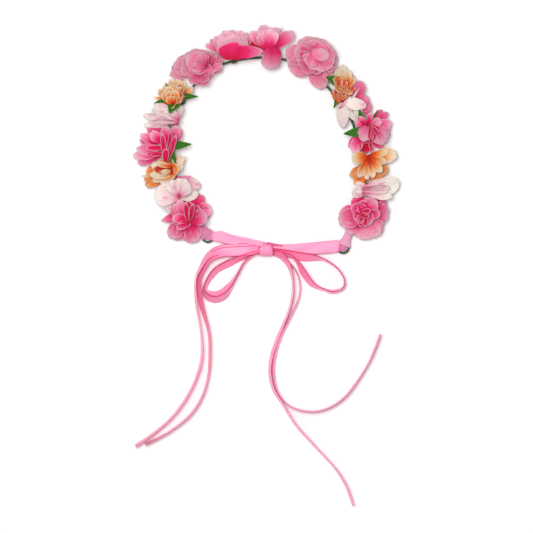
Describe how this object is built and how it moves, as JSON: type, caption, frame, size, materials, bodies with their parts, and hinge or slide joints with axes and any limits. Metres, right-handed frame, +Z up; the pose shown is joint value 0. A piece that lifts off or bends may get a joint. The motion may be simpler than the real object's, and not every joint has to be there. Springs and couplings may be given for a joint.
{
  "type": "flower crown",
  "caption": "Wire headband of fabric flowers, open at the back, where a satin ribbon bow ties the two end eyelets together.",
  "frame": {"origin": "middle of the head opening, at the height of the table that the crown lies on", "axes": "+X to the wearer's right side of the ring as it is seen from above, along the crown's longest side; +Y to the front of the crown, away from the bow; +Z up, along the axis of the head opening"},
  "size_m": [0.2628, 0.4812, 0.0421],
  "materials": {
    "steel_wire": "satin",
    "floral_tape": "matte",
    "neck_ribbon": "matte",
    "satin_ribbon": "satin",
    "pink_petals": "matte",
    "blush_petals": "matte",
    "peach_petals": "matte",
    "deep_pink_heart": "matte",
    "pale_pink_heart": "matte",
    "orange_heart": "matte",
    "leaf_green": "matte"
  },
  "bodies": {
    "crown": {"core_wire": "steel_wire", "floral_tape": "floral_tape", "stem_bindings": "floral_tape", "left_eyelet": "floral_tape", "right_eyelet": "floral_tape", "left_neck_wrap": "neck_ribbon", "right_neck_wrap": "neck_ribbon", "left_band_upper": "satin_ribbon", "left_band_lower": "satin_ribbon", "right_band_upper": "satin_ribbon", "right_band_lower": "satin_ribbon", "azalea_left_petals": "pink_petals", "blush_left_low_petals": "blush_petals", "peach_left_low_petals": "peach_petals", "lily_left_petals": "pink_petals", "blush_left_high_petals": "blush_petals", "carnation_left_petals": "peach_petals", "rose_left_petals": "pink_petals", "peony_top_left_petals": "pink_petals", "peony_top_right_petals": "pink_petals", "rose_right_petals": "pink_petals", "carnation_right_petals": "peach_petals", "lily_right_petals": "blush_petals", "azalea_right_high_petals": "pink_petals", "peach_right_petals": "peach_petals", "blush_right_petals": "blush_petals", "azalea_right_low_petals": "pink_petals", "azalea_left_heart": "deep_pink_heart", "peach_left_low_heart": "orange_heart", "rose_left_heart": "pale_pink_heart", "rose_right_heart": "pale_pink_heart", "carnation_right_heart": "orange_heart", "azalea_right_high_heart": "deep_pink_heart", "peach_right_heart": "orange_heart", "azalea_right_low_heart": "deep_pink_heart", "azalea_left_calyx": "leaf_green", "blush_left_low_calyx": "leaf_green", "peach_left_low_calyx": "leaf_green", "lily_left_calyx": "leaf_green", "blush_left_high_calyx": "leaf_green", "carnation_left_calyx": "leaf_green", "rose_left_calyx": "leaf_green", "peony_top_left_calyx": "leaf_green", "peony_top_right_calyx": "leaf_green", "rose_right_calyx": "leaf_green", "carnation_right_calyx": "leaf_green", "lily_right_calyx": "leaf_green", "azalea_right_high_calyx": "leaf_green", "peach_right_calyx": "leaf_green", "blush_right_calyx": "leaf_green", "azalea_right_low_calyx": "leaf_green"},
    "bow": {"bow_knot": "satin_ribbon", "left_loop_outer": "satin_ribbon", "left_loop_inner": "satin_ribbon", "right_loop_outer": "satin_ribbon", "right_loop_inner": "satin_ribbon", "left_tail_outer": "satin_ribbon", "left_tail_inner": "satin_ribbon", "right_tail_short": "satin_ribbon", "right_tail_long": "satin_ribbon"}
  },
  "joints": [
    {"name": "bow_swing", "type": "hinge", "parent": "crown", "child": "bow", "pos_m": [-0.059, -0.0865, 0.0051], "axis": [0.9967, -0.0812, 0], "range_deg": [-90, 90]}
  ]
}
